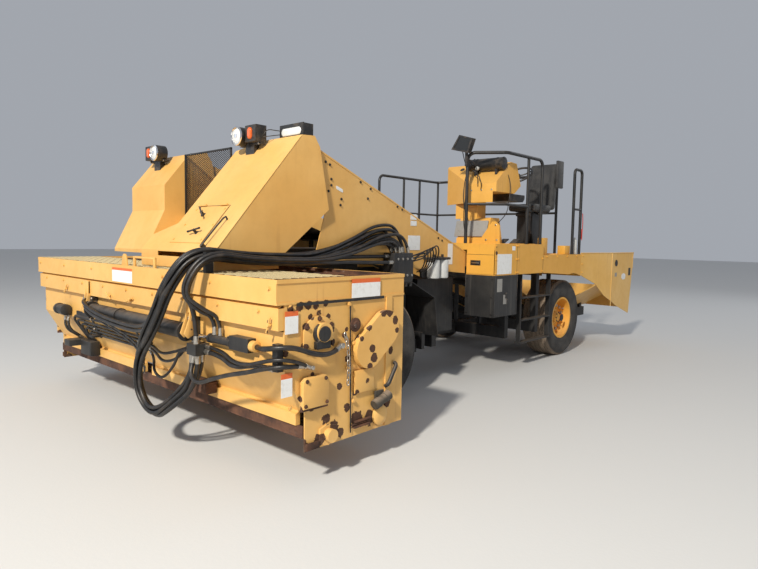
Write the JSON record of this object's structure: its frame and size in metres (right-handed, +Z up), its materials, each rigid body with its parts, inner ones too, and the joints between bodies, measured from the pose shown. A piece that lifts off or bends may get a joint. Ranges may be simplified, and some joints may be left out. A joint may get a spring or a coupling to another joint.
{
  "type": "self-propelled chip spreader",
  "caption": "Self-propelled chip spreader: wide front spread hopper, two belt conveyors with hoods, raised operator deck, rear receiving hopper, rubber-tyred wheels",
  "frame": {"origin": "on the ground, midway between the hopper ends and midway along the machine", "axes": "+X to the machine's left, +Y to its rear, +Z up"},
  "size_m": [4.22, 8.0278, 2.8388],
  "materials": {
    "yellow_paint": "faded paint",
    "deck_yellow": "satin paint",
    "black_paint": "satin paint",
    "black_plastic": "moulded",
    "worn_steel": "rusty and worn",
    "engine_paint": "dusty paint",
    "white_paint": "gloss paint",
    "belt_rubber": "matt",
    "tyre_rubber": "dusty",
    "rim_paint": "chipped paint",
    "seat_vinyl": "vinyl",
    "hose_rubber": "matt"
  },
  "bodies": {
    "chassis": {"belts": "belt_rubber", "chassis_frame": "black_paint", "console": "deck_yellow", "console_cowl": "black_plastic", "conveyor_frame_left": "yellow_paint", "conveyor_frame_right": "yellow_paint", "deck": "deck_yellow", "display": "black_plastic", "end_bearings": "black_paint", "engine": "engine_paint", "entry_deck": "deck_yellow", "filters_and_valves": "white_paint", "front_axle": "black_paint", "front_fenders": "black_paint", "fuel_tank": "black_paint", "gate_lines": "black_paint", "gate_lip": "yellow_paint", "handrail_right": "black_paint", "handrails_left": "black_paint", "hood_left": "yellow_paint", "hood_right": "yellow_paint", "hopper_back_wall": "yellow_paint", "hopper_beam": "yellow_paint", "hopper_ends": "yellow_paint", "hopper_front_wall": "yellow_paint", "hopper_grate": "worn_steel", "hose_drop": "hose_rubber", "hose_end": "hose_rubber", "hose_loop": "hose_rubber", "hydraulic_tank": "black_paint", "ladder": "black_paint", "lamps": "black_plastic", "mesh_guard": "black_paint", "pulleys": "worn_steel", "radiator": "engine_paint", "rear_axle": "black_paint", "receiving_hopper": "yellow_paint", "seat_frame": "black_paint", "seat_pads": "seat_vinyl", "side_panels": "yellow_paint", "steering_wheel": "black_plastic", "tool_box": "black_paint", "truck_hitch": "black_paint", "wear_strip": "worn_steel"},
    "knuckle_left": {"knuckle_left": "black_paint"},
    "knuckle_right": {"knuckle_right": "black_paint"},
    "tie_rod": {"tie_rod": "black_paint"},
    "wheel_front_left": {"tyre_front_left": "tyre_rubber", "rim_front_left": "rim_paint"},
    "wheel_front_right": {"tyre_front_right": "tyre_rubber", "rim_front_right": "rim_paint"},
    "wheel_rear_left": {"tyre_rear_left": "tyre_rubber", "rim_rear_left": "rim_paint"},
    "wheel_rear_right": {"tyre_rear_right": "tyre_rubber", "rim_rear_right": "rim_paint"},
    "spread_roll": {"spread_roll": "worn_steel"},
    "cross_auger": {"cross_auger": "worn_steel"},
    "hood_hatch": {"hood_hatch": "yellow_paint"},
    "deck_box_door": {"deck_box_door": "deck_yellow"},
    "tool_box_door": {"tool_box_door": "black_paint"}
  },
  "joints": [
    {"name": "steer_left", "type": "hinge", "parent": "chassis", "child": "knuckle_left", "pos_m": [0.73, -1.98, 0.536], "axis": [0, 0, 1], "range_deg": [-25, 25]},
    {"name": "steer_right", "type": "hinge", "parent": "chassis", "child": "knuckle_right", "pos_m": [-0.73, -1.98, 0.536], "axis": [0, 0, 1], "range_deg": [-25, 25]},
    {"name": "tie_rod_turn", "type": "hinge", "parent": "knuckle_left", "child": "tie_rod", "pos_m": [0.73, -1.76, 0.365], "axis": [0, 0, 1], "range_deg": [-25, 25]},
    {"name": "wheel_front_left_spin", "type": "hinge", "parent": "knuckle_left", "child": "wheel_front_left", "pos_m": [0.985, -1.98, 0.536], "axis": [1, 0, 0], "continuous": true},
    {"name": "wheel_front_right_spin", "type": "hinge", "parent": "knuckle_right", "child": "wheel_front_right", "pos_m": [-0.985, -1.98, 0.536], "axis": [1, 0, 0], "continuous": true},
    {"name": "wheel_rear_left_spin", "type": "hinge", "parent": "chassis", "child": "wheel_rear_left", "pos_m": [0.985, 1.856, 0.536], "axis": [1, 0, 0], "continuous": true},
    {"name": "wheel_rear_right_spin", "type": "hinge", "parent": "chassis", "child": "wheel_rear_right", "pos_m": [-0.985, 1.856, 0.536], "axis": [1, 0, 0], "continuous": true},
    {"name": "spread_roll_spin", "type": "hinge", "parent": "chassis", "child": "spread_roll", "pos_m": [0, -3.478, 0.318], "axis": [1, 0, 0], "continuous": true},
    {"name": "cross_auger_spin", "type": "hinge", "parent": "chassis", "child": "cross_auger", "pos_m": [0, -3.554, 1.01], "axis": [1, 0, 0], "continuous": true},
    {"name": "hood_hatch_swing", "type": "hinge", "parent": "chassis", "child": "hood_hatch", "pos_m": [0.44, -3.71929, 1.55634], "axis": [0, 0.6494, 0.7604], "range_deg": [-100, 0]},
    {"name": "deck_box_door_swing", "type": "hinge", "parent": "chassis", "child": "deck_box_door", "pos_m": [1.285, -0.2263, 1.393], "axis": [0, 0, 1], "range_deg": [0, 100]},
    {"name": "tool_box_door_swing", "type": "hinge", "parent": "chassis", "child": "tool_box_door", "pos_m": [1.3013, 0.298, 0.967], "axis": [0, 0, 1], "range_deg": [0, 110]}
  ],
  "couplings": [
    {"joint": "steer_right", "follows": "steer_left", "ratio": 1},
    {"joint": "tie_rod_turn", "follows": "steer_left", "ratio": -1}
  ]
}
